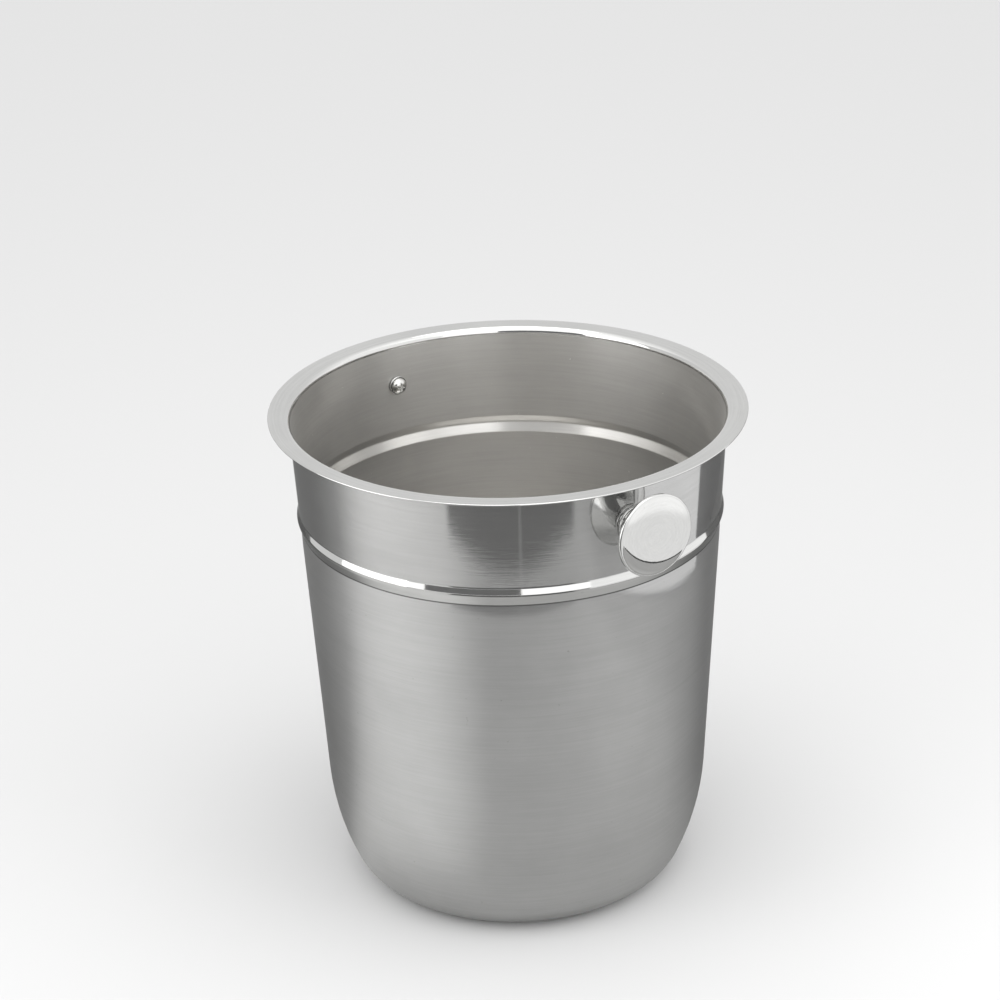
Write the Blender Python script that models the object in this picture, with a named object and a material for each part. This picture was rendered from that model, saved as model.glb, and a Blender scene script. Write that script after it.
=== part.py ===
"""Wine and ice bucket: one drawn steel shell with a rim flange and a rolled bead, and two disc knobs.

Metres, +Z up. The origin is the centre of the base, on the surface that the bucket stands on.
The knobs are on the X axis: left_... parts at -X, right_... parts at +X.
"""
import math

import bmesh
import bpy
from mathutils import Matrix, Vector

# ---------------------------------------------------------------- driving dimensions
RIM_RADIUS = 0.114            # outer edge of the rim flange
HEIGHT = 0.243                # base plane to the top of the flange
SHEET = 0.0008                # thickness of the drawn steel
WALL_TOP_RADIUS = 0.1045      # outer wall, carried up to the top plane
WALL_TAPER = 0.0588           # the wall's radius lost for each metre of height
LIP_FILLET = 0.0026           # outer fillet between the wall and the flange

BEAD_TOP_DROP = 0.0471        # depth of the bead's upper edge, crest and lower edge below the rim
BEAD_CREST_DROP = 0.0508
BEAD_FOOT_DROP = 0.0560
BEAD_PROUD = 0.0013           # how far the crest stands out of the wall
BEAD_EDGE_FILLET = 0.0007
BEAD_CREST_FILLET = 0.0009

KNEE_HEIGHT = 0.0330          # where the wall line and the sloping lower stretch would meet
KNEE_ANGLE = math.radians(23.8)    # the lower stretch's lean from the vertical
KNEE_FILLET = 0.1270
HEEL_FILLET = 0.0202          # rounding between the lower stretch and the base
RECESS_RADIUS = 0.0520        # the base's middle is pushed up, so that it stands on a ring
RECESS_LEAN = 0.0050
RECESS_DEPTH = 0.0015
RECESS_FILLET = 0.0040

KNOB_DROP = 0.0229            # knob axis below the rim
DISC_RADIUS = 0.0197
DISC_THICKNESS = 0.0022
DISC_FACE_X = 0.1201          # edge of the disc's front face, from the bucket's axis
DISC_CROWN = 0.0012           # how far the front face is domed
CROWN_ROLL = 0.45             # share of the dome that falls away near its edge
DISC_EDGE_FILLET = 0.0007
CROWN_RADIUS = 0.0187         # the dome starts just inside the disc's rounded edge
NECK_RADIUS = 0.0060
NECK_LENGTH = 0.0014
CONE_START_RADIUS = 0.0075    # the knob's back is a cone from the neck to just inside the disc's edge
CONE_END_RADIUS = 0.0187
KNOB_BORE_DEPTH = 0.0085

COLLAR_RADIUS = 0.0092
COLLAR_STEP_RADIUS = 0.0074
COLLAR_BASE_LENGTH = 0.0018
COLLAR_LENGTH = 0.0034
GASKET_RADIUS = 0.0060
GASKET_THICKNESS = 0.0009

SCREW_RADIUS = 0.0016
SCREW_HEAD_RADIUS = 0.0040
SCREW_HEAD_HEIGHT = 0.0031
SCREW_HEAD_RIM = 0.0003       # straight edge under the dome
SCREW_TIP_CHAMFER = 0.0008
SCREW_SLOT_WIDTH = 0.0008
SCREW_SLOT_LENGTH = 0.0042
SCREW_SLOT_DEPTH = 0.0014
WASHER_RADIUS = 0.0048
WASHER_THICKNESS = 0.0006

GAP = 0.0003                  # clearance kept between touching pieces
SHELL_SIDES = 60              # a multiple of 4, so that a facet can face each knob
ROUND_SIDES = 24
DOME_STEPS = 6                # steps from the top of a screw's dome to its rim
CHORD_ERROR = 0.00015         # how far an arc's short straight steps may stray from it
ON_AXIS = 0.00001             # a point nearer to the axis than this is on it

# ---------------------------------------------------------------- derived places
KNOB_HEIGHT = HEIGHT - KNOB_DROP
SIDES = (("left", -1.0), ("right", 1.0))


def wall_radius(height):
    """Outer radius of the straight tapered wall at a height."""
    return WALL_TOP_RADIUS - WALL_TAPER * (HEIGHT - height)


# On the X axis the wall is the middle of a facet, a little nearer to the bucket's axis.
FACET_SHRINK = math.cos(math.pi / SHELL_SIDES)
WALL_X = wall_radius(KNOB_HEIGHT) * FACET_SHRINK
INNER_WALL_X = WALL_X - SHEET


# ---------------------------------------------------------------- outlines
def rounded(corners):
    """Turn (x, y, fillet radius) corners into a point list, each fillet an arc of short steps."""
    points = [Vector(corners[0][:2])]
    for before, corner, after in zip(corners, corners[1:], corners[2:]):
        vertex = Vector(corner[:2])
        back = (Vector(before[:2]) - vertex).normalized()
        ahead = (Vector(after[:2]) - vertex).normalized()
        turn = math.pi - back.angle(ahead)
        if corner[2] == 0.0 or turn < 1e-6:
            points.append(vertex)
            continue
        tangent = corner[2] * math.tan(turn / 2.0)
        centre = vertex + (back + ahead).normalized() * (corner[2] / math.cos(turn / 2.0))
        start = vertex + back * tangent - centre
        side = 1.0 if start.x * back.y - start.y * back.x < 0.0 else -1.0
        count = math.ceil(turn / (2.0 * math.acos(1.0 - CHORD_ERROR / corner[2])))
        for index in range(count + 1):
            angle = side * turn * index / count
            cosine, sine = math.cos(angle), math.sin(angle)
            points.append(centre + Vector((start.x * cosine - start.y * sine,
                                           start.x * sine + start.y * cosine)))
    points.append(Vector(corners[-1][:2]))
    return points


def offset(points, distance):
    """Move an open outline sideways, to its right-hand side, by a distance."""
    moved = []
    for index, point in enumerate(points):
        normals = []
        for first, second in ((index - 1, index), (index, index + 1)):
            if first >= 0 and second < len(points):
                run = (points[second] - points[first]).normalized()
                normals.append(Vector((run.y, -run.x)))
        normal = sum(normals, Vector((0.0, 0.0))).normalized()
        moved.append(point + normal * (distance / normal.dot(normals[0])))
    return moved


def shell_outline():
    """Closed section of the shell, from the axis up the outside, round the rim and down the inside."""
    flange_under = HEIGHT - SHEET
    knee_radius = wall_radius(KNEE_HEIGHT)
    heel_radius = knee_radius - KNEE_HEIGHT * math.tan(KNEE_ANGLE)
    bead_top = HEIGHT - BEAD_TOP_DROP
    bead_crest = HEIGHT - BEAD_CREST_DROP
    bead_foot = HEIGHT - BEAD_FOOT_DROP
    outside = rounded([
        (0.0, RECESS_DEPTH, 0.0),
        (RECESS_RADIUS - RECESS_LEAN, RECESS_DEPTH, RECESS_FILLET),
        (RECESS_RADIUS, 0.0, RECESS_FILLET),
        (heel_radius, 0.0, HEEL_FILLET),
        (knee_radius, KNEE_HEIGHT, KNEE_FILLET),
        (wall_radius(bead_foot), bead_foot, BEAD_EDGE_FILLET),
        (wall_radius(bead_crest) + BEAD_PROUD, bead_crest, BEAD_CREST_FILLET),
        (wall_radius(bead_top), bead_top, BEAD_EDGE_FILLET),
        (wall_radius(flange_under), flange_under, LIP_FILLET),
        (RIM_RADIUS - SHEET / 2.0, flange_under, 0.0),
    ])
    inside = offset(outside, -SHEET)
    inside[0].x = 0.0
    rim_centre = Vector((RIM_RADIUS - SHEET / 2.0, HEIGHT - SHEET / 2.0))
    rim_edge = [rim_centre + Vector((math.cos(angle), math.sin(angle))) * (SHEET / 2.0)
                for angle in (-math.pi / 4.0, 0.0, math.pi / 4.0)]
    return outside + rim_edge + list(reversed(inside))


def turned(outline, sides, phase=0.0):
    """Solid of revolution about +Z of an outline of (radius, height) points.

    The outline runs anticlockwise in its half plane, so the faces look outwards. It may start and
    end on the axis, or be a closed ring that stays off it.
    """
    mesh = bmesh.new()
    rings = []
    for point in outline:
        if point[0] < ON_AXIS:
            rings.append([mesh.verts.new((0.0, 0.0, point[1]))] * sides)
            continue
        angles = [phase + 2.0 * math.pi * index / sides for index in range(sides)]
        rings.append([mesh.verts.new((point[0] * math.cos(angle), point[0] * math.sin(angle), point[1]))
                      for angle in angles])
    pairs = list(zip(rings, rings[1:]))
    if outline[0][0] >= ON_AXIS:
        pairs.append((rings[-1], rings[0]))
    for lower, upper in pairs:
        for index in range(sides):
            following = (index + 1) % sides
            corners = (lower[index], lower[following], upper[following], upper[index])
            distinct = list(dict.fromkeys(corners))
            if len(distinct) > 2:
                mesh.faces.new(distinct)
    return mesh


# ---------------------------------------------------------------- objects
def make_object(name, mesh, material, matrix=None):
    """Put a bmesh into a named, smooth-shaded object with its material."""
    bmesh.ops.recalc_face_normals(mesh, faces=mesh.faces)
    data = bpy.data.meshes.new(name)
    mesh.to_mesh(data)
    mesh.free()
    data.shade_smooth()
    data.set_sharp_from_angle(angle=math.radians(30.0))
    data.materials.append(material)
    item = bpy.data.objects.new(name, data)
    bpy.context.scene.collection.objects.link(item)
    if matrix is not None:
        item.matrix_world = matrix
    return item


def make_cutter(name, mesh, matrix=None):
    """A hidden tool object for Boolean cuts."""
    cutter = make_object(name, mesh, GUIDE_STEEL, matrix)
    cutter.hide_render = True
    cutter.display_type = "WIRE"
    return cutter


def cut(item, cutter):
    """Take the cutter's volume away from an object."""
    modifier = item.modifiers.new("cut_" + cutter.name, "BOOLEAN")
    modifier.operation = "DIFFERENCE"
    modifier.solver = "EXACT"
    modifier.object = cutter


def metal(name, colour, roughness):
    """Principled material of a bare steel surface."""
    material = bpy.data.materials.new(name)
    material.use_nodes = True
    shader = material.node_tree.nodes["Principled BSDF"]
    shader.inputs["Base Color"].default_value = (*colour, 1.0)
    shader.inputs["Metallic"].default_value = 1.0
    shader.inputs["Roughness"].default_value = roughness
    return material


def rubber(name, colour, roughness):
    """Principled material of a sealing ring."""
    material = metal(name, colour, roughness)
    material.node_tree.nodes["Principled BSDF"].inputs["Metallic"].default_value = 0.0
    return material


def knob_frame(direction):
    """Placement of a turned piece whose +Z becomes the outward knob axis at one side."""
    turn = Matrix.Rotation(direction * math.pi / 2.0, 4, "Y")
    return Matrix.Translation((0.0, 0.0, KNOB_HEIGHT)) @ turn


# ---------------------------------------------------------------- the shell
def build_shell():
    """The drawn shell, with a facet centred on each knob and a clear hole for each screw."""
    shell = make_object("bucket_shell", turned(shell_outline(), SHELL_SIDES, math.pi / SHELL_SIDES),
                        SHELL_STEEL)
    hole_radius = SCREW_RADIUS + GAP
    reach = WALL_X + 0.01
    hole = turned([(0.0, -reach), (hole_radius, -reach), (hole_radius, reach), (0.0, reach)], ROUND_SIDES)
    cut(shell, make_cutter("screw_holes", hole, knob_frame(1.0)))


def wall_band():
    """The wall near the knobs, thickened by the clearance on both faces, as a cutter for what seats on it."""
    low, high = KNOB_HEIGHT - 0.015, KNOB_HEIGHT + 0.015
    thick = SHEET + GAP
    ring = [(wall_radius(low) - thick, low), (wall_radius(low) + GAP, low),
            (wall_radius(high) + GAP, high), (wall_radius(high) - thick, high)]
    return make_cutter("wall_band", turned(ring, SHELL_SIDES, math.pi / SHELL_SIDES))


# ---------------------------------------------------------------- the knobs
def build_knob(side, direction, collar_end):
    """Turned knob: domed disc on a cone that narrows to a short neck, with a blind screw hole."""
    back = DISC_FACE_X - DISC_THICKNESS
    neck_end = collar_end + GAP
    neck_top = neck_end + NECK_LENGTH
    bore = SCREW_RADIUS + GAP
    outline = rounded([
        (0.0, neck_end + KNOB_BORE_DEPTH, 0.0),
        (bore, neck_end + KNOB_BORE_DEPTH, 0.0),
        (bore, neck_end, 0.0),
        (NECK_RADIUS, neck_end, 0.0003),
        (NECK_RADIUS, neck_top, 0.0),
        (CONE_START_RADIUS, neck_top, 0.0003),
        (CONE_END_RADIUS, back, 0.0),
        (DISC_RADIUS, back, DISC_EDGE_FILLET),
        (DISC_RADIUS, DISC_FACE_X, DISC_EDGE_FILLET),
        (CROWN_RADIUS, DISC_FACE_X, 0.0),
    ])
    for share in (0.9, 0.78, 0.6, 0.4, 0.2, 0.0):
        rise = DISC_CROWN * (1.0 - (1.0 - CROWN_ROLL) * share ** 2 - CROWN_ROLL * share ** 6)
        outline.append(Vector((CROWN_RADIUS * share, DISC_FACE_X + rise)))
    make_object(side + "_knob", turned(outline, ROUND_SIDES), KNOB_STEEL, knob_frame(direction))


def build_collar(side, direction, band):
    """Stepped ring between the neck and the wall, hollowed at the back for the gasket."""
    hidden_end = WALL_X - SHEET / 2.0
    base_end = WALL_X + GAP + COLLAR_BASE_LENGTH
    collar_end = WALL_X + GAP + COLLAR_LENGTH
    recess_end = WALL_X + GAP + GASKET_THICKNESS + GAP
    bore = SCREW_RADIUS + GAP
    pocket = GASKET_RADIUS + GAP
    outline = rounded([
        (pocket, hidden_end, 0.0),
        (COLLAR_RADIUS, hidden_end, 0.0),
        (COLLAR_RADIUS, base_end, 0.0006),
        (COLLAR_STEP_RADIUS, base_end, 0.0003),
        (COLLAR_STEP_RADIUS, collar_end, 0.0005),
        (bore, collar_end, 0.0),
        (bore, recess_end, 0.0),
        (pocket, recess_end, 0.0),
    ])
    collar = make_object(side + "_knob_collar", turned(outline, ROUND_SIDES), COLLAR_STEEL,
                         knob_frame(direction))
    cut(collar, band)
    return collar_end


def build_gasket(side, direction, band):
    """Sealing ring round the screw, in the collar's pocket."""
    face = WALL_X + GAP + GASKET_THICKNESS
    bore = SCREW_RADIUS + GAP
    outline = [(bore, WALL_X - SHEET / 2.0), (GASKET_RADIUS, WALL_X - SHEET / 2.0),
               (GASKET_RADIUS, face), (bore, face)]
    gasket = make_object(side + "_knob_gasket", turned(outline, ROUND_SIDES), GASKET_RUBBER,
                         knob_frame(direction))
    cut(gasket, band)


def build_washer(side, direction, band):
    """Thin washer under the screw's head, following the wall's inner face."""
    head_side = INNER_WALL_X - GAP - WASHER_THICKNESS
    bore = SCREW_RADIUS + GAP
    outline = [(bore, head_side), (WASHER_RADIUS, head_side),
               (WASHER_RADIUS, WALL_X - SHEET / 2.0), (bore, WALL_X - SHEET / 2.0)]
    washer = make_object(side + "_inner_washer", turned(outline, ROUND_SIDES), WASHER_STEEL,
                         knob_frame(direction))
    cut(washer, band)
    return head_side


def build_screw(side, direction, washer_face, collar_end):
    """Dome-headed screw from the inside of the bucket into the knob's neck, with a cross recess."""
    seat = washer_face - GAP
    tip = collar_end + KNOB_BORE_DEPTH - GAP
    dome_height = SCREW_HEAD_HEIGHT - SCREW_HEAD_RIM
    outline = []
    for index in range(DOME_STEPS + 1):
        angle = math.pi / 2.0 * index / DOME_STEPS
        outline.append(Vector((SCREW_HEAD_RADIUS * math.sin(angle),
                               seat - SCREW_HEAD_RIM - dome_height * math.cos(angle))))
    outline += [Vector((SCREW_HEAD_RADIUS, seat)), Vector((SCREW_RADIUS, seat)),
                Vector((SCREW_RADIUS, tip - SCREW_TIP_CHAMFER)),
                Vector((SCREW_RADIUS - SCREW_TIP_CHAMFER, tip)), Vector((0.0, tip))]
    screw = make_object(side + "_knob_screw", turned(outline, ROUND_SIDES), SCREW_STEEL,
                        knob_frame(direction))
    floor = seat - SCREW_HEAD_HEIGHT + SCREW_SLOT_DEPTH
    for number, turn in enumerate((0.0, math.pi / 2.0)):
        slot = bmesh.new()
        bmesh.ops.create_cube(slot, size=1.0)
        shape = Matrix.Diagonal((SCREW_SLOT_LENGTH, SCREW_SLOT_WIDTH, 0.004, 1.0))
        place = Matrix.Translation((0.0, 0.0, floor - 0.002)) @ Matrix.Rotation(turn, 4, "Z") @ shape
        bmesh.ops.transform(slot, matrix=place, verts=slot.verts)
        cut(screw, make_cutter(f"{side}_slot_{number}", slot, knob_frame(direction)))


def build_handles():
    """Both knobs with what fastens them."""
    band = wall_band()
    for side, direction in SIDES:
        collar_end = build_collar(side, direction, band)
        build_gasket(side, direction, band)
        build_knob(side, direction, collar_end)
        washer_face = build_washer(side, direction, band)
        build_screw(side, direction, washer_face, collar_end)


for leftover in list(bpy.data.objects):
    bpy.data.objects.remove(leftover)

SHELL_STEEL = metal("shell_steel", (0.62, 0.62, 0.61), 0.30)
KNOB_STEEL = metal("knob_steel", (0.72, 0.72, 0.71), 0.08)
COLLAR_STEEL = metal("collar_steel", (0.70, 0.70, 0.69), 0.10)
SCREW_STEEL = metal("screw_steel", (0.68, 0.68, 0.67), 0.12)
WASHER_STEEL = metal("washer_steel", (0.66, 0.66, 0.65), 0.20)
GUIDE_STEEL = metal("guide", (0.5, 0.5, 0.5), 0.5)
GASKET_RUBBER = rubber("gasket_rubber", (0.03, 0.03, 0.03), 0.7)

build_shell()
build_handles()
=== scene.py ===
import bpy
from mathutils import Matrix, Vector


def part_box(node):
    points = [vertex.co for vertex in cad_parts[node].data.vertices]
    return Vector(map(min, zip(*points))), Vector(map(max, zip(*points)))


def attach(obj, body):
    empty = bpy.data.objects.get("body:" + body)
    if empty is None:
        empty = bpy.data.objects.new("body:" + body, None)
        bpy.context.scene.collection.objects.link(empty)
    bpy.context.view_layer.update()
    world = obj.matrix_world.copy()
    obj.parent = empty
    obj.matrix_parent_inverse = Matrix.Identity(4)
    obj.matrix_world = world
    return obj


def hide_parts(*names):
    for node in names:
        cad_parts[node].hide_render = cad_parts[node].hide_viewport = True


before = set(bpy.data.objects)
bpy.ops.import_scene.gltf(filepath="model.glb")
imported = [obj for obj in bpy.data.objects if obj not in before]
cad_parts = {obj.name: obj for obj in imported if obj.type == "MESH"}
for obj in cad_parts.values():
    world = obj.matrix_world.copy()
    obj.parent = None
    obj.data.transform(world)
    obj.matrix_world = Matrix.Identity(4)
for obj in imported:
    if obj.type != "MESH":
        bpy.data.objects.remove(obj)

"""Looks of the wine and ice bucket: fine turned steel surfaces, brushed and polished finishes, soft studio.

Metres, +Z up, the origin at the centre of the base, the knobs on the X axis.
"""
import math

import bmesh
import bpy
from mathutils import Matrix, Vector

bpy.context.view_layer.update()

# ---------------------------------------------------------------- sizes, from the frame where it has them
shell_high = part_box("bucket_shell")[1]
knob_low, knob_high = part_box("right_knob")
collar_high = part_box("right_knob_collar")[1]
screw_low, screw_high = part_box("right_knob_screw")
washer_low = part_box("right_inner_washer")[0]

HEIGHT = shell_high.z
RIM_RADIUS = 0.114            # outer edge of the rim flange
SHEET = 0.0008                # thickness of the drawn steel
WALL_TOP_RADIUS = 0.1045      # outer wall, carried up to the top plane
WALL_TAPER = 0.0588           # the wall's radius lost for each metre of height
LIP_FILLET = 0.0026           # outer fillet between the wall and the flange

BEAD_TOP_DROP = 0.0471        # depth of the bead's upper edge, crest and lower edge below the rim
BEAD_CREST_DROP = 0.0508
BEAD_FOOT_DROP = 0.0560
BEAD_PROUD = 0.0013           # how far the crest stands out of the wall
BEAD_EDGE_FILLET = 0.0028
BEAD_CREST_FILLET = 0.0034
SINK_DEPTH = 0.00034          # the sheet is drawn in a little under the bead
SINK_LENGTH = 0.0110

KNEE_HEIGHT = 0.0330          # where the wall line and the sloping lower stretch would meet
KNEE_ANGLE = math.radians(23.8)    # the lower stretch's lean from the vertical
KNEE_FILLET = 0.1270
HEEL_FILLET = 0.0202          # rounding between the lower stretch and the base
RECESS_RADIUS = 0.0520        # the base's middle is pushed up, so that it stands on a ring
RECESS_LEAN = 0.0050
RECESS_DEPTH = 0.0015
RECESS_FILLET = 0.0040

KNOB_HEIGHT = (knob_low.z + knob_high.z) / 2.0
DISC_RADIUS = 0.0197
DISC_THICKNESS = 0.0022
DISC_FACE_X = 0.1201          # edge of the disc's front face, from the bucket's axis
DISC_CROWN = 0.0012           # how far the front face is domed
CROWN_ROLL = 0.45             # share of the dome that falls away near its edge
CROWN_STEPS = 24
DISC_EDGE_FILLET = 0.0007
CROWN_RADIUS = 0.0187         # the dome starts just inside the disc's rounded edge
NECK_RADIUS = 0.0060
NECK_LENGTH = 0.0014
NECK_FILLET = 0.0003
CONE_START_RADIUS = 0.0075    # the knob's back is a cone from the neck to just inside the disc's edge
CONE_END_RADIUS = 0.0187
CONE_END_FILLET = 0.0002
KNOB_BORE_DEPTH = 0.0085

COLLAR_RADIUS = 0.0092
COLLAR_STEP_RADIUS = 0.0074
COLLAR_BASE_LENGTH = 0.0018
COLLAR_LENGTH = 0.0034
COLLAR_EDGE_FILLET = 0.0006   # edge of the wide step, corner between the steps, edge of the narrow step
COLLAR_CORNER_FILLET = 0.0003
COLLAR_STEP_FILLET = 0.0005
COLLAR_REACH = 0.015          # the cutter that shapes the collar's back goes this far up and down
GASKET_RADIUS = 0.0060

SCREW_RADIUS = 0.0016
SCREW_HEAD_RADIUS = 0.0040
SCREW_HEAD_HEIGHT = 0.0031
SCREW_HEAD_RIM = 0.0003       # straight edge under the dome
SCREW_TIP_CHAMFER = 0.0008
SCREW_SLOT_WIDTH = 0.0008
SCREW_SLOT_LENGTH = 0.0042
SCREW_SLOT_DEPTH = 0.0014
SLOT_CUTTER_HEIGHT = 0.004
DOME_STEPS = 16               # steps from the top of a screw's dome to its rim
WASHER_RADIUS = 0.0048
WASHER_THICKNESS = 0.0006
WASHER_FILLET = 0.0002

GAP = 0.0003                  # clearance kept between touching pieces
HOLE_OVERRUN = 0.01           # how far the screw holes' cutter runs past the wall
SHELL_SIDES = 288
KNOB_SIDES = 128
SMALL_SIDES = 64
RIM_EDGE_STEPS = 10           # steps round the flange's outer edge
LONGEST_RUN = 0.0012          # no straight stretch of the shell's outline is longer
ON_AXIS = 0.00001             # a point nearer to the axis than this is on it
SIDES = (("left", -1.0), ("right", 1.0))

INNER_POLISH = 0.0012         # how far the flange's polish runs past the lip, inside and outside
OUTER_POLISH = 0.0008
BEAD_POLISH = 0.0002          # how far the bead's polish runs past its edges
UNDERSIDE_HEIGHT = 0.0016     # up to here the shell has the underside's finish


def wall_radius(height):
    """Outer radius of the straight tapered wall at a height."""
    return WALL_TOP_RADIUS - WALL_TAPER * (HEIGHT - height)


WALL_X = wall_radius(KNOB_HEIGHT)


# ---------------------------------------------------------------- outlines
def rounded(corners, step=math.radians(6.0), hold=0.0004):
    """Corners (x, y, fillet radius) as a point list: fillets become arcs of short steps.

    Beside each arc a support point is added on the straight, so that shading stays flat there.
    """
    points = [Vector(corners[0][:2])]
    for before, corner, after in zip(corners, corners[1:], corners[2:]):
        vertex = Vector(corner[:2])
        back = Vector(before[:2]) - vertex
        ahead = Vector(after[:2]) - vertex
        back_length, ahead_length = back.length, ahead.length
        back.normalize()
        ahead.normalize()
        turn = math.pi - back.angle(ahead)
        if corner[2] == 0.0 or turn < 1e-6:
            points.append(vertex)
            continue
        tangent = corner[2] * math.tan(turn / 2.0)
        centre = vertex + (back + ahead).normalized() * (corner[2] / math.cos(turn / 2.0))
        start = vertex + back * tangent - centre
        side = 1.0 if start.x * back.y - start.y * back.x < 0.0 else -1.0
        count = max(3, math.ceil(turn / step))
        if back_length > 3.0 * (tangent + hold):
            points.append(vertex + back * (tangent + hold))
        for index in range(count + 1):
            angle = side * turn * index / count
            cosine, sine = math.cos(angle), math.sin(angle)
            points.append(centre + Vector((start.x * cosine - start.y * sine,
                                           start.x * sine + start.y * cosine)))
        if ahead_length > 3.0 * (tangent + hold):
            points.append(vertex + ahead * (tangent + hold))
    points.append(Vector(corners[-1][:2]))
    return points


def offset(points, distance):
    """Move an open outline sideways, to its right-hand side, by a distance."""
    moved = []
    for index, point in enumerate(points):
        normals = []
        for first, second in ((index - 1, index), (index, index + 1)):
            if first >= 0 and second < len(points):
                run = (points[second] - points[first]).normalized()
                normals.append(Vector((run.y, -run.x)))
        normal = sum(normals, Vector((0.0, 0.0))).normalized()
        moved.append(point + normal * (distance / normal.dot(normals[0])))
    return moved


def dense(points, longest):
    """Split the straight stretches of an outline, so that none is longer than a limit."""
    result = [points[0]]
    for first, second in zip(points, points[1:]):
        count = max(1, math.ceil((second - first).length / longest))
        result += [first.lerp(second, index / count) for index in range(1, count + 1)]
    return result


def shell_outline():
    """Section of the shell from the axis up the outside, round the rim and down the inside.

    Under the bead's foot the sheet is drawn in, most at the foot and less further down.
    """
    flange_under = HEIGHT - SHEET
    knee_radius = wall_radius(KNEE_HEIGHT)
    heel_radius = knee_radius - KNEE_HEIGHT * math.tan(KNEE_ANGLE)
    bead_top = HEIGHT - BEAD_TOP_DROP
    bead_crest = HEIGHT - BEAD_CREST_DROP
    bead_foot = HEIGHT - BEAD_FOOT_DROP
    outside = rounded([
        (0.0, RECESS_DEPTH, 0.0),
        (RECESS_RADIUS - RECESS_LEAN, RECESS_DEPTH, RECESS_FILLET),
        (RECESS_RADIUS, 0.0, RECESS_FILLET),
        (heel_radius, 0.0, HEEL_FILLET),
        (knee_radius, KNEE_HEIGHT, KNEE_FILLET),
        (wall_radius(bead_foot), bead_foot, BEAD_EDGE_FILLET),
        (wall_radius(bead_crest) + BEAD_PROUD, bead_crest, BEAD_CREST_FILLET),
        (wall_radius(bead_top), bead_top, BEAD_EDGE_FILLET),
        (wall_radius(flange_under), flange_under, LIP_FILLET),
        (RIM_RADIUS - SHEET / 2.0, flange_under, 0.0),
    ], step=math.radians(3.0))
    outside = dense(outside, LONGEST_RUN)
    for point in outside:
        under = bead_foot - point.y
        if 0.0 <= under < SINK_LENGTH and point.x > RECESS_RADIUS:
            point.x -= SINK_DEPTH * (1.0 - under / SINK_LENGTH) ** 2
        elif 0.0 < -under < bead_crest - bead_foot:
            point.x -= SINK_DEPTH * (1.0 + under / (bead_crest - bead_foot))
    inside = offset(outside, -SHEET)
    inside[0].x = 0.0
    rim_centre = Vector((RIM_RADIUS - SHEET / 2.0, HEIGHT - SHEET / 2.0))
    angles = [math.pi * (index / RIM_EDGE_STEPS - 0.5) for index in range(1, RIM_EDGE_STEPS)]
    rim_edge = [rim_centre + Vector((math.cos(angle), math.sin(angle))) * (SHEET / 2.0)
                for angle in angles]
    return outside, rim_edge, list(reversed(inside))


def turned(outline, sides, zones=None):
    """Solid of revolution about +Z of (radius, height) points; zones gives each stretch its slot."""
    mesh = bmesh.new()
    rings = []
    for point in outline:
        if point[0] < ON_AXIS:
            rings.append([mesh.verts.new((0.0, 0.0, point[1]))] * sides)
            continue
        angles = [2.0 * math.pi * (index + 0.5) / sides for index in range(sides)]
        rings.append([mesh.verts.new((point[0] * math.cos(angle), point[0] * math.sin(angle), point[1]))
                      for angle in angles])
    pairs = list(zip(rings, rings[1:]))
    if outline[0][0] >= ON_AXIS:
        pairs.append((rings[-1], rings[0]))
    for number, (lower, upper) in enumerate(pairs):
        for index in range(sides):
            following = (index + 1) % sides
            corners = (lower[index], lower[following], upper[following], upper[index])
            distinct = list(dict.fromkeys(corners))
            if len(distinct) > 2:
                face = mesh.faces.new(distinct)
                face.material_index = zones[number] if zones else 0
    return mesh


# ---------------------------------------------------------------- objects
def make_object(name, mesh, materials, matrix=None, sharp=math.radians(35.0)):
    """Put a bmesh into a named, smooth-shaded object with its materials."""
    bmesh.ops.recalc_face_normals(mesh, faces=mesh.faces)
    data = bpy.data.meshes.new(name)
    mesh.to_mesh(data)
    mesh.free()
    if matrix is not None:
        data.transform(matrix)
    data.shade_smooth()
    data.set_sharp_from_angle(angle=sharp)
    for material in materials:
        data.materials.append(material)
    item = bpy.data.objects.new(name, data)
    bpy.context.scene.collection.objects.link(item)
    return item


def cut(item, cutters):
    """Take the cutters' volumes away for good and remove the cutters."""
    for cutter in cutters:
        modifier = item.modifiers.new("cut", "BOOLEAN")
        modifier.operation = "DIFFERENCE"
        modifier.solver = "EXACT"
        modifier.object = cutter
    graph = bpy.context.evaluated_depsgraph_get()
    data = bpy.data.meshes.new_from_object(item.evaluated_get(graph))
    item.modifiers.clear()
    item.data = data
    for cutter in cutters:
        bpy.data.objects.remove(cutter)


def knob_frame(direction):
    """Placement of a turned piece whose +Z becomes the outward knob axis at one side."""
    turn = Matrix.Rotation(direction * math.pi / 2.0, 4, "Y")
    return Matrix.Translation((0.0, 0.0, KNOB_HEIGHT)) @ turn


def stands_for(item, slot, *nodes):
    """Let a piece ride on the only body and hide the CAD nodes it replaces; slot is not used."""
    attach(item, "root")
    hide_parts(*nodes)


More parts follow.
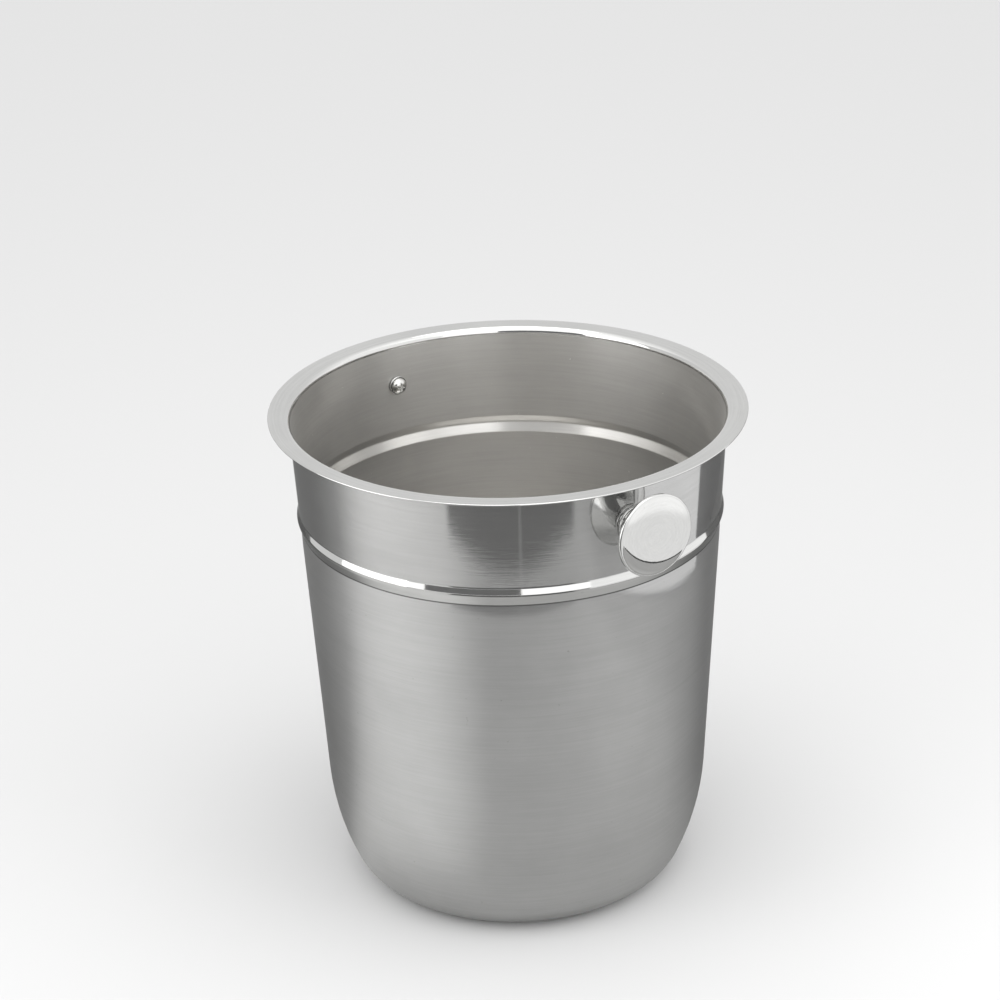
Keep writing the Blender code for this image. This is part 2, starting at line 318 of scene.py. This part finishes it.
# ---------------------------------------------------------------- material building
class Nodes:
    """Short-hand for building a material's node tree."""

    def __init__(self, name):
        self.material = bpy.data.materials.new(name)
        self.material.use_nodes = True
        self.tree = self.material.node_tree
        self.shader = self.tree.nodes["Principled BSDF"]

    def add(self, kind, **settings):
        """A new node with some of its properties set."""
        node = self.tree.nodes.new(kind)
        for key, value in settings.items():
            setattr(node, key, value)
        return node

    def link(self, source, target):
        """Join an output socket to an input socket."""
        self.tree.links.new(source, target)

    def set(self, socket, value):
        """Link a socket, or set its value."""
        if isinstance(value, bpy.types.NodeSocket):
            self.link(value, socket)
        else:
            socket.default_value = value

    def math(self, operation, first, second=0.0, third=0.0):
        """One arithmetic step on numbers or sockets."""
        node = self.add("ShaderNodeMath", operation=operation)
        for socket, value in zip(node.inputs, (first, second, third)):
            self.set(socket, value)
        return node.outputs[0]

    def position(self):
        """Place in the object's own frame, which is the bucket's frame."""
        return self.add("ShaderNodeTexCoord").outputs["Object"]

    def split(self, vector):
        """The three parts of a vector."""
        node = self.add("ShaderNodeSeparateXYZ")
        self.link(vector, node.inputs[0])
        return node.outputs

    def join(self, x, y, z):
        """A vector from three numbers or sockets."""
        node = self.add("ShaderNodeCombineXYZ")
        for socket, value in zip(node.inputs, (x, y, z)):
            self.set(socket, value)
        return node.outputs[0]

    def noise(self, vector, scale, detail=2.0, rough=0.5, distortion=0.0):
        """Noise between about 0 and 1 at a place."""
        node = self.add("ShaderNodeTexNoise")
        self.link(vector, node.inputs["Vector"])
        node.inputs["Scale"].default_value = scale
        node.inputs["Detail"].default_value = detail
        node.inputs["Roughness"].default_value = rough
        node.inputs["Distortion"].default_value = distortion
        return node.outputs["Fac"]

    def ramp(self, value, low, high, to_low=0.0, to_high=1.0, smooth=True):
        """Map a range of a number to another, clamped."""
        node = self.add("ShaderNodeMapRange", clamp=True)
        if smooth:
            node.interpolation_type = "SMOOTHSTEP"
        for index, number in enumerate((value, low, high, to_low, to_high)):
            self.set(node.inputs[index], number)
        return node.outputs[0]

    def blend(self, share, first, second):
        """Mix two colours."""
        node = self.add("ShaderNodeMix", data_type="RGBA")
        self.set(node.inputs[0], share)
        for index, colour in ((6, first), (7, second)):
            value = colour if isinstance(colour, bpy.types.NodeSocket) else (*colour, 1.0)
            self.set(node.inputs[index], value)
        return node.outputs[2]

    def bump(self, height, strength, distance, normal=None):
        """A bump from a height."""
        node = self.add("ShaderNodeBump")
        node.inputs["Strength"].default_value = strength
        node.inputs["Distance"].default_value = distance
        self.link(height, node.inputs["Height"])
        if normal is not None:
            self.link(normal, node.inputs["Normal"])
        return node.outputs[0]


def round_the_axis(n, axis):
    """Coordinates for marks that run round an axis: (cosine, sine, along, distance from the axis)."""
    x, y, z = n.split(n.position())
    if axis == "X":
        x, y, z = y, n.math("SUBTRACT", z, KNOB_HEIGHT), x
    out = n.math("SQRT", n.math("ADD", n.math("MULTIPLY", x, x), n.math("MULTIPLY", y, y)))
    safe = n.math("MAXIMUM", out, 0.0001)
    return n.math("DIVIDE", x, safe), n.math("DIVIDE", y, safe), z, out


COARSE_LINES = 900.0          # brush lines: noise steps a metre across them
FINE_LINES = 4200.0
COARSE_TURN = 1.6             # and noise steps for each radius along them
FINE_TURN = 7.0
COARSE_SHARE = 0.6            # the rest of the lines' strength is in the fine ones
LINE_TONE_SHARE = 0.6         # the rest of the tone's change is in the slow clouds
LIGHT_LINE = 1.045            # brightness of the lightest and the darkest lines
DARK_LINE = 0.945
SPECK_TONE = 0.55             # brightness of the small dull dots
SPECK_ROUGHNESS = 0.25
CREASE_SHADE_TONE = 0.25            # brightness of the painted shade along a crease
CREASE_SHADE_HALF = 0.0006          # where the painted shade has faded out, above and below the crease
CREASE_SHADE_CORE = 0.0001
BRUSH_RELIEF = 0.00006        # greatest height of the brush lines and of the slow unevenness
RIPPLE_RELIEF = 0.0012
LEAST_ROUGHNESS = 0.02
CLOUD_SCALE = 26.0            # noise steps a metre of the clouds, the dots and the slow unevenness
DOT_SCALE = 420.0
RIPPLE_SCALE = 9.0


def scaled(colour, factor):
    """A colour made lighter or darker, not past white."""
    return tuple(min(1.0, part * factor) for part in colour)


def steel(name, colour, roughness, brush=0.5, anisotropy=0.0, grain=1.0, axis="Z", across=False,
          haze=0.0, haze_roughness=0.42, cloudy=0.02, specks=0.4, ripple=0.4, crease=None):
    """Bare stainless steel with marks that run round an axis.

    brush is the depth of the brush lines and grain their fineness. haze is the share of a second,
    wider sheen that fine brushing leaves round every reflection. cloudy is the slow change of
    gloss, specks the strength of small dull dots, ripple the slow unevenness of the sheet.
    across is for faces square to the axis, where the lines are rings at changing radius. crease is
    the height of a crease along which a dark line of painted shade is put into the colour.
    """
    n = Nodes(name)
    cosine, sine, along, out = round_the_axis(n, axis)
    line = out if across else along
    coarse = n.noise(n.join(n.math("MULTIPLY", cosine, COARSE_TURN), n.math("MULTIPLY", sine, COARSE_TURN),
                            n.math("MULTIPLY", line, COARSE_LINES * grain)), 1.0, 4.0, 0.65)
    fine = n.noise(n.join(n.math("MULTIPLY", cosine, FINE_TURN), n.math("MULTIPLY", sine, FINE_TURN),
                          n.math("MULTIPLY", line, FINE_LINES * grain)), 1.0, 2.0, 0.6)
    lines = n.math("ADD", n.math("MULTIPLY", coarse, COARSE_SHARE),
                   n.math("MULTIPLY", fine, 1.0 - COARSE_SHARE))
    cloud = n.noise(n.position(), CLOUD_SCALE, 4.0, 0.55)
    dots = n.noise(n.position(), DOT_SCALE, 2.0, 0.5)
    speck = n.math("MULTIPLY", n.ramp(dots, 0.735, 0.80), specks)

    tone = n.math("ADD", n.math("MULTIPLY", lines, LINE_TONE_SHARE),
                  n.math("MULTIPLY", cloud, 1.0 - LINE_TONE_SHARE))
    base = n.blend(n.ramp(tone, 0.36, 0.64), scaled(colour, DARK_LINE), scaled(colour, LIGHT_LINE))
    base = n.blend(speck, base, scaled(colour, SPECK_TONE))
    # painted shade: the colour darkens to a thin dark line along the crease
    if crease is not None:
        beside = n.math("ABSOLUTE", n.math("SUBTRACT", n.split(n.position())[2], crease))
        base = n.blend(n.ramp(beside, CREASE_SHADE_HALF, CREASE_SHADE_CORE), base, scaled(colour, CREASE_SHADE_TONE))

    change = n.math("MULTIPLY", n.math("SUBTRACT", lines, 0.5), 0.10 * brush + 0.01)
    change = n.math("MULTIPLY_ADD", n.math("SUBTRACT", cloud, 0.5), cloudy * 2.0, change)
    change = n.math("MULTIPLY_ADD", speck, SPECK_ROUGHNESS, change)
    slow = n.noise(n.position(), RIPPLE_SCALE, 1.0, 0.4)
    shape = n.bump(lines, brush, BRUSH_RELIEF, n.bump(slow, ripple, RIPPLE_RELIEF))
    tangent = n.add("ShaderNodeTangent", direction_type="RADIAL", axis=axis)

    def lobe(shader, width):
        """Finish one metal shader; width is its roughness before the marks change it."""
        n.link(base, shader.inputs["Base Color"])
        gloss = n.math("MAXIMUM", n.math("ADD", change, width), LEAST_ROUGHNESS)
        n.link(gloss, shader.inputs["Roughness"])
        n.link(shape, shader.inputs["Normal"])
        shader.inputs["Metallic"].default_value = 1.0
        if anisotropy:
            shader.inputs["Anisotropic"].default_value = anisotropy
            shader.inputs["Anisotropic Rotation"].default_value = 0.25
            n.link(tangent.outputs[0], shader.inputs["Tangent"])

    lobe(n.shader, roughness)
    if haze:
        wide = n.add("ShaderNodeBsdfPrincipled")
        lobe(wide, haze_roughness)
        mix = n.add("ShaderNodeMixShader")
        mix.inputs[0].default_value = haze
        n.link(n.shader.outputs[0], mix.inputs[1])
        n.link(wide.outputs[0], mix.inputs[2])
        n.link(mix.outputs[0], n.tree.nodes["Material Output"].inputs["Surface"])
    return n.material


def gasket_rubber():
    """Matt black sealing rubber with a fine moulded grain."""
    n = Nodes("gasket_rubber_look")
    grain = n.noise(n.position(), 2600.0, 3.0, 0.6)
    bloom = n.noise(n.position(), 240.0, 3.0, 0.5)
    n.link(n.blend(n.ramp(bloom, 0.3, 0.7), (0.018, 0.018, 0.019), (0.045, 0.044, 0.043)),
           n.shader.inputs["Base Color"])
    n.link(n.ramp(bloom, 0.2, 0.8, 0.55, 0.8), n.shader.inputs["Roughness"])
    n.link(n.bump(grain, 0.5, 0.00004), n.shader.inputs["Normal"])
    return n.material


# ---------------------------------------------------------------- pieces
OUTER_WALL, BAND, POLISHED, INSIDE, UNDERSIDE = range(5)


def shell_zone(first, second, outer):
    """Which finish a stretch of the shell's outline has."""
    middle = (first + second) / 2.0
    drop = HEIGHT - middle.y
    if not outer:
        return POLISHED if drop < LIP_FILLET + INNER_POLISH else INSIDE
    if middle.y < UNDERSIDE_HEIGHT:
        return UNDERSIDE
    if drop < LIP_FILLET + OUTER_POLISH:
        return POLISHED
    if drop < BEAD_TOP_DROP - BEAD_POLISH:
        return BAND
    if drop < BEAD_FOOT_DROP + BEAD_POLISH:
        return POLISHED
    return OUTER_WALL


def build_shell():
    """The drawn shell, with its finishes and both screw holes."""
    outside, rim_edge, inside = shell_outline()
    outline = outside + rim_edge + inside
    rim_start = len(outside) - 1
    rim_end = len(outside) + len(rim_edge)
    zones = []
    for index, (first, second) in enumerate(zip(outline, outline[1:])):
        on_rim = rim_start <= index < rim_end
        zones.append(POLISHED if on_rim else shell_zone(first, second, outer=index < rim_start))
    looks = [
        steel("outer_wall_satin", (0.57, 0.57, 0.565), 0.07, brush=0.3, anisotropy=0.6, haze=0.44,
              crease=HEIGHT - BEAD_FOOT_DROP),
        steel("band_semi_polished", (0.58, 0.58, 0.575), 0.045, brush=0.28, anisotropy=0.4, grain=0.8,
              haze=0.24, haze_roughness=0.36),
        steel("flange_and_bead_polished", (0.66, 0.66, 0.65), 0.07, brush=0.15, across=True, ripple=0.2,
              crease=HEIGHT - BEAD_FOOT_DROP),
        steel("inside_satin", (0.74, 0.73, 0.71), 0.20, brush=0.6, anisotropy=0.5, grain=0.9, haze=0.5),
        steel("underside_satin", (0.56, 0.56, 0.55), 0.26, brush=0.6, across=True),
    ]
    shell = make_object("bucket_shell_fine", turned(outline, SHELL_SIDES, zones), looks)
    reach = WALL_X + HOLE_OVERRUN
    radius = SCREW_RADIUS + GAP
    hole = turned([(0.0, -reach), (radius, -reach), (radius, reach), (0.0, reach)], SMALL_SIDES)
    cut(shell, [make_object("screw_holes", hole, looks[:1], knob_frame(1.0))])
    stands_for(shell, "shell_steel", "bucket_shell")


def knob_outline():
    """Outline of a knob along its own axis: out of the bore, round the neck, cone and disc, over the dome."""
    back = DISC_FACE_X - DISC_THICKNESS
    neck_end = collar_high.x + GAP
    neck_top = neck_end + NECK_LENGTH
    bore = SCREW_RADIUS + GAP
    outline = rounded([
        (0.0, neck_end + KNOB_BORE_DEPTH, 0.0),
        (bore, neck_end + KNOB_BORE_DEPTH, 0.0),
        (bore, neck_end, 0.0),
        (NECK_RADIUS, neck_end, NECK_FILLET),
        (NECK_RADIUS, neck_top, 0.0),
        (CONE_START_RADIUS, neck_top, NECK_FILLET),
        (CONE_END_RADIUS, back, CONE_END_FILLET),
        (DISC_RADIUS, back, DISC_EDGE_FILLET),
        (DISC_RADIUS, DISC_FACE_X, DISC_EDGE_FILLET),
        (CROWN_RADIUS, DISC_FACE_X, 0.0),
    ], hold=0.0002)
    for index in range(1, CROWN_STEPS + 1):
        share = 1.0 - index / CROWN_STEPS
        rise = DISC_CROWN * (1.0 - (1.0 - CROWN_ROLL) * share ** 2 - CROWN_ROLL * share ** 6)
        outline.append(Vector((CROWN_RADIUS * share, DISC_FACE_X + rise)))
    return outline


def build_knob(side, direction, look):
    """One turned knob."""
    knob = make_object(side + "_knob_fine", turned(knob_outline(), KNOB_SIDES), [look],
                       knob_frame(direction), sharp=math.radians(50.0))
    stands_for(knob, "knob_steel", side + "_knob")


def build_collar(side, direction, look):
    """The stepped ring against the wall; its back is hidden and meets the wall's curve."""
    pocket = GASKET_RADIUS + GAP
    bore = SCREW_RADIUS + GAP
    base_end = collar_high.x - COLLAR_LENGTH + COLLAR_BASE_LENGTH
    outline = rounded([
        (pocket, WALL_X - SHEET / 2.0, 0.0),
        (COLLAR_RADIUS, WALL_X - SHEET / 2.0, 0.0),
        (COLLAR_RADIUS, base_end, COLLAR_EDGE_FILLET),
        (COLLAR_STEP_RADIUS, base_end, COLLAR_CORNER_FILLET),
        (COLLAR_STEP_RADIUS, collar_high.x, COLLAR_STEP_FILLET),
        (bore, collar_high.x, 0.0),
        (bore, base_end - GAP, 0.0),
        (pocket, base_end - GAP, 0.0),
    ], hold=0.0001)
    collar = make_object(side + "_knob_collar_fine", turned(outline, SMALL_SIDES), [look],
                         knob_frame(direction))
    low = KNOB_HEIGHT - COLLAR_REACH
    high = KNOB_HEIGHT + COLLAR_REACH
    thick = SHEET + 3.0 * GAP
    ring = [(wall_radius(low) - thick, low), (wall_radius(low) + GAP, low),
            (wall_radius(high) + GAP, high), (wall_radius(high) - thick, high)]
    cut(collar, [make_object("band_cutter", turned(ring, SHELL_SIDES), [look])])
    stands_for(collar, "collar_steel", side + "_knob_collar")


def build_screw(side, direction, look):
    """Dome-headed screw with a cross recess."""
    seat = screw_low.x + SCREW_HEAD_HEIGHT
    dome = SCREW_HEAD_HEIGHT - SCREW_HEAD_RIM
    outline = []
    for index in range(DOME_STEPS + 1):
        angle = math.pi / 2.0 * index / DOME_STEPS
        outline.append(Vector((SCREW_HEAD_RADIUS * math.sin(angle),
                               seat - SCREW_HEAD_RIM - dome * math.cos(angle))))
    outline += [Vector((SCREW_HEAD_RADIUS, seat)), Vector((SCREW_RADIUS, seat)),
                Vector((SCREW_RADIUS, screw_high.x - SCREW_TIP_CHAMFER)),
                Vector((SCREW_RADIUS - SCREW_TIP_CHAMFER, screw_high.x)), Vector((0.0, screw_high.x))]
    screw = make_object(side + "_knob_screw_fine", turned(outline, SMALL_SIDES), [look],
                        knob_frame(direction))
    middle = screw_low.x + SCREW_SLOT_DEPTH - SLOT_CUTTER_HEIGHT / 2.0
    shape = Matrix.Diagonal((SCREW_SLOT_LENGTH, SCREW_SLOT_WIDTH, SLOT_CUTTER_HEIGHT, 1.0))
    slots = []
    for turn in (0.0, math.pi / 2.0):
        slot = bmesh.new()
        bmesh.ops.create_cube(slot, size=1.0)
        place = Matrix.Translation((0.0, 0.0, middle)) @ Matrix.Rotation(turn, 4, "Z") @ shape
        bmesh.ops.transform(slot, matrix=place, verts=slot.verts)
        slots.append(make_object("slot_cutter", slot, [look], knob_frame(direction)))
    cut(screw, slots)
    stands_for(screw, "screw_steel", side + "_knob_screw")


def build_washer(side, direction, look):
    """Thin washer under the screw's head."""
    start = washer_low.x
    end = start + WASHER_THICKNESS
    bore = SCREW_RADIUS + GAP
    outline = rounded([
        (bore, start, 0.0),
        (WASHER_RADIUS, start, WASHER_FILLET),
        (WASHER_RADIUS, end, 0.0),
        (bore, end, 0.0),
    ], hold=0.0001)
    washer = make_object(side + "_inner_washer_fine", turned(outline, SMALL_SIDES), [look],
                         knob_frame(direction))
    stands_for(washer, "washer_steel", side + "_inner_washer")


def build_handles():
    """Both knobs with what fastens them."""
    mirror = steel("knob_mirror", (0.72, 0.72, 0.71), 0.035, brush=0.02, axis="X", across=True, ripple=0.05)
    ring = steel("collar_polished", (0.70, 0.70, 0.69), 0.08, brush=0.15, axis="X", across=True, ripple=0.0)
    screw = steel("screw_polished", (0.68, 0.68, 0.66), 0.10, brush=0.1, axis="X", across=True, ripple=0.0)
    washer = steel("washer_bright", (0.66, 0.66, 0.65), 0.18, brush=0.3, axis="X", across=True, ripple=0.0)
    rubber = gasket_rubber()
    for side, direction in SIDES:
        build_knob(side, direction, mirror)
        build_collar(side, direction, ring)
        build_screw(side, direction, screw)
        build_washer(side, direction, washer)
        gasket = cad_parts[side + "_knob_gasket"]
        for slot in gasket.material_slots:
            slot.material = rubber


# ---------------------------------------------------------------- stage, light and camera
VIEW_AZIMUTH = math.radians(57.3)      # camera's place round the bucket, from -Y towards +X
VIEW_PITCH = 0.4250
VIEW_YAW = -0.0037
VIEW_ROLL = -0.0277
CAMERA_DISTANCE = 1.3165
CAMERA_HEIGHT = 0.7898
FOCAL_SHARE = 3.0                      # focal length over the image's width
TO_CAMERA = Vector((math.sin(VIEW_AZIMUTH), -math.cos(VIEW_AZIMUTH), 0.0))
TO_RIGHT = Vector((math.cos(VIEW_AZIMUTH), math.sin(VIEW_AZIMUTH), 0.0))
SENSOR_WIDTH = 36.0
WORLD_BACK = 0.85                      # glow of the room behind the bucket and on the camera's side
WORLD_FRONT = 1.6
FLOOR_SIZE = 14.0
FLOOR_TONE = 0.58

TABLE_SIZE = 8.0
TABLE_HEIGHT = 0.0004
TABLE_EDGE = 0.415                     # how far in front of the axis the table ends
TABLE_EDGE_BOW = 0.35                  # how much further out the edge lies away from the middle
# The table card only shows in reflections; its tones are painted light and shade for the steel to reflect.
TABLE_TONE = 0.31
TABLE_RIGHT = 0.33
TABLE_FAR_RIGHT = 0.25
TABLE_BEHIND = 0.11
TABLE_FAR_BEHIND = 0.36                # a narrow strip straight behind the bucket
TABLE_LIT = 0.50
TABLE_NEAR = 0.38                      # painted light close to the base, on the camera's side
LIT_AZIMUTH = math.radians(-54.0)      # where the table is lit most, from the camera's direction
BEYOND_TONE = 0.09                     # the painted dark stretch past the table's edge, painted shade in the reflections
SLIT_TONE = 0.33                       # a narrow strip of painted light in it, that leans to the right
SLIT_LEAN = 0.075
SLIT_STRENGTH = 0.35
FOOT_BLEND = 0.02                      # half of the height over which a lit wall's glow changes


def grey(tone):
    """A grey that is very slightly warm."""
    return (tone, tone, tone * 0.99)


def matt(name, tone):
    """Plain matt material for the stage."""
    n = Nodes(name)
    n.shader.inputs["Base Color"].default_value = (tone, tone, tone, 1.0)
    n.shader.inputs["Roughness"].default_value = 0.9
    n.shader.inputs["Specular IOR Level"].default_value = 0.0
    return n.material


def table_tone():
    """Grey table that ends in front of the bucket, with painted light and shade: lightest at the left front,
    darkest behind.

    out is the distance from the bucket's axis. facing is the cosine of the direction from the axis,
    against the camera's: 1 towards the camera, -1 straight behind.
    """
    n = Nodes("table_card")
    x, y = n.split(n.position())[:2]
    ahead = n.math("ADD", n.math("MULTIPLY", x, TO_CAMERA.x), n.math("MULTIPLY", y, TO_CAMERA.y))
    across = n.math("ADD", n.math("MULTIPLY", x, TO_RIGHT.x), n.math("MULTIPLY", y, TO_RIGHT.y))
    out = n.math("SQRT", n.math("ADD", n.math("MULTIPLY", ahead, ahead), n.math("MULTIPLY", across, across)))
    out = n.math("MAXIMUM", out, 0.01)
    facing = n.math("DIVIDE", ahead, out)
    lit = n.math("ADD", n.math("MULTIPLY", ahead, math.cos(LIT_AZIMUTH)),
                 n.math("MULTIPLY", across, math.sin(LIT_AZIMUTH)))
    lit = n.ramp(n.math("DIVIDE", lit, out), 0.72, 1.0)
    right = n.ramp(n.math("DIVIDE", across, out), 0.3, 0.8)
    far_right = n.math("MULTIPLY", n.ramp(across, 0.24, 0.30), right)
    behind = n.ramp(facing, 0.45, -0.60)
    far_behind = n.ramp(facing, -0.88, -0.98)
    near = n.math("MULTIPLY", n.ramp(out, 0.14, 0.09), n.ramp(facing, 0.1, 0.7))
    edge = n.math("MULTIPLY_ADD", n.math("SUBTRACT", 1.0, facing), TABLE_EDGE_BOW, TABLE_EDGE)
    past_edge = n.ramp(n.math("SUBTRACT", out, edge), 0.0, 0.010)
    beyond = n.math("MULTIPLY", past_edge, n.ramp(facing, 0.850, 0.880))
    slit = n.math("ABSOLUTE", n.math("MULTIPLY_ADD", ahead, -SLIT_LEAN, across))
    slit = n.ramp(slit, 0.006, 0.003, 0.0, SLIT_STRENGTH)

    # painted light and shade, zone by zone, seen only in reflections
    tone = n.blend(right, grey(TABLE_TONE), grey(TABLE_RIGHT))
    zones = ((far_right, TABLE_FAR_RIGHT), (behind, TABLE_BEHIND), (far_behind, TABLE_FAR_BEHIND),
             (lit, TABLE_LIT), (near, TABLE_NEAR))
    for share, zone_tone in zones:
        tone = n.blend(share, tone, grey(zone_tone))
    tone = n.blend(beyond, tone, n.blend(slit, grey(BEYOND_TONE), grey(SLIT_TONE)))
    n.link(tone, n.shader.inputs["Base Color"])
    n.shader.inputs["Roughness"].default_value = 0.9
    n.shader.inputs["Specular IOR Level"].default_value = 0.1
    return n.material


def level_square(name, height, size, material):
    """A level square sheet round the bucket's axis."""
    mesh = bmesh.new()
    mesh.faces.new([mesh.verts.new((size * u, size * v, height))
                    for u, v in ((-0.5, -0.5), (0.5, -0.5), (0.5, 0.5), (-0.5, 0.5))])
    item = make_object(name, mesh, [material])
    return item


def at(across, ahead, height):
    """A place given from the camera's side: to its right, towards it and up."""
    return TO_RIGHT * across + TO_CAMERA * ahead + Vector((0.0, 0.0, height))


def soft_box(name, place, target, width, height, radiance):
    """A soft box that faces a target; only its light and its reflections are seen."""
    data = bpy.data.lights.new(name, "AREA")
    data.shape = "RECTANGLE"
    data.size = width
    data.size_y = height
    data.energy = radiance * math.pi * width * height
    item = bpy.data.objects.new(name, data)
    item.location = place
    item.rotation_mode = "QUATERNION"
    item.rotation_quaternion = (place - target).to_track_quat("Z", "Y")
    item.visible_camera = False
    bpy.context.scene.collection.objects.link(item)
    return item


def studio_world():
    """A pale studio: lighter on the camera's side, greyer behind the bucket."""
    world = bpy.data.worlds.new("studio")
    bpy.context.scene.world = world
    world.use_nodes = True
    tree = world.node_tree
    background = tree.nodes["Background"]
    place = tree.nodes.new("ShaderNodeTexCoord")
    facing = tree.nodes.new("ShaderNodeVectorMath")
    facing.operation = "DOT_PRODUCT"
    facing.inputs[1].default_value = TO_CAMERA
    ramp = tree.nodes.new("ShaderNodeMapRange")
    ramp.interpolation_type = "SMOOTHSTEP"
    for index, number in ((1, -0.9), (2, 0.5), (3, WORLD_BACK), (4, WORLD_FRONT)):
        ramp.inputs[index].default_value = number
    tree.links.new(place.outputs["Generated"], facing.inputs[0])
    tree.links.new(facing.outputs["Value"], ramp.inputs[0])
    tree.links.new(ramp.outputs[0], background.inputs[1])
    background.inputs[0].default_value = (1.0, 1.0, 1.0, 1.0)


def only_reflected(item):
    """Leave an item to glossy rays alone."""
    for kind in ("camera", "diffuse", "transmission", "volume_scatter", "shadow"):
        setattr(item, "visible_" + kind, False)


def card(name, start, end, low, high, material):
    """An upright card between two places (across, ahead) that only reflections see."""
    mesh = bmesh.new()
    corners = [at(*start, low), at(*end, low), at(*end, high), at(*start, high)]
    mesh.faces.new([mesh.verts.new(corner) for corner in corners])
    item = make_object(name, mesh, [material])
    only_reflected(item)


def dark_card(name, start, end, low, high, tone):
    """An upright card that keeps light away from a part of the steel."""
    card(name, start, end, low, high, matt(name + "_look", tone))


def light_card(name, start, end, low, high, glow, foot=None):
    """An upright glowing card; foot is a height and the glow below it, where that differs."""
    n = Nodes(name + "_look")
    n.shader.inputs["Base Color"].default_value = (0.0, 0.0, 0.0, 1.0)
    n.shader.inputs["Specular IOR Level"].default_value = 0.0
    n.shader.inputs["Emission Color"].default_value = (1.0, 1.0, 1.0, 1.0)
    if foot is not None:
        foot_height, foot_glow = foot
        height = n.split(n.position())[2]
        glow = n.ramp(height, foot_height - FOOT_BLEND, foot_height + FOOT_BLEND, foot_glow, glow)
    n.set(n.shader.inputs["Emission Strength"], glow)
    card(name, start, end, low, high, n.material)


def build_stage():
    """Pale floor and room, soft boxes, and what only reflections see: the grey table and the cards."""
    level_square("floor", 0.0, FLOOR_SIZE, matt("floor_pale", FLOOR_TONE))
    only_reflected(level_square("table_card", TABLE_HEIGHT, TABLE_SIZE, table_tone()))
    studio_world()
    dark_card("flag_camera", (-1.20, 1.25), (0.12, 1.60), low=0.20, high=1.15, tone=0.20)
    dark_card("flag_left", (-0.62, 0.05), (-0.30, -0.60), low=0.0, high=0.075, tone=0.11)
    dark_card("flag_right", (0.375, -0.125), (0.25, -0.60), low=0.0, high=0.09, tone=0.13)
    dark_card("foot_right", (0.368, 0.40), (0.368, -0.125), low=0.0, high=0.008, tone=0.03)
    light_card("wall_right", (0.375, 0.50), (0.375, -0.125), low=0.002, high=0.62, glow=1.22,
               foot=(0.12, 0.96))
    light_card("wall_left", (-0.60, 0.45), (-0.60, -0.95), low=0.06, high=0.70, glow=0.85)
    light_card("strip_left", (-0.48, 0.32), (-0.48, 0.02), low=0.14, high=0.50, glow=2.4)
    soft_box("soft_left", at(-0.54, 0.24, 0.36), at(0.0, 0.0, 0.10), width=0.36, height=0.60, radiance=1.3)
    fill = soft_box("soft_right", at(0.40, 0.14, 0.33), at(0.0, 0.0, 0.12),
                    width=0.50, height=0.60, radiance=0.9)
    fill.visible_glossy = False
    soft_box("soft_top", at(0.0, 0.05, 1.40), at(0.0, 0.0, 0.0), width=0.80, height=0.80, radiance=2.0)


def build_camera():
    """The camera at the chosen viewing angle, with a slight roll."""
    data = bpy.data.cameras.new("camera")
    data.sensor_width = SENSOR_WIDTH
    data.lens = SENSOR_WIDTH * FOCAL_SHARE
    data.clip_start = 0.05
    data.clip_end = 50.0
    item = bpy.data.objects.new("camera", data)
    cosine, sine = math.cos(VIEW_PITCH), math.sin(VIEW_PITCH)
    forward = Vector((math.sin(VIEW_YAW) * cosine, math.cos(VIEW_YAW) * cosine, -sine))
    level = Vector((math.cos(VIEW_YAW), -math.sin(VIEW_YAW), 0.0))
    above = level.cross(forward)
    right = level * math.cos(VIEW_ROLL) + above * math.sin(VIEW_ROLL)
    up = above * math.cos(VIEW_ROLL) - level * math.sin(VIEW_ROLL)
    axes = Matrix((right, up, -forward)).transposed().to_4x4()
    place = Matrix.Translation((0.0, -CAMERA_DISTANCE, CAMERA_HEIGHT)) @ axes
    item.matrix_world = Matrix.Rotation(VIEW_AZIMUTH, 4, "Z") @ place
    bpy.context.scene.collection.objects.link(item)
    bpy.context.scene.camera = item


build_camera()
build_shell()
build_handles()
build_stage()
bpy.context.scene.view_settings.view_transform = "Standard"
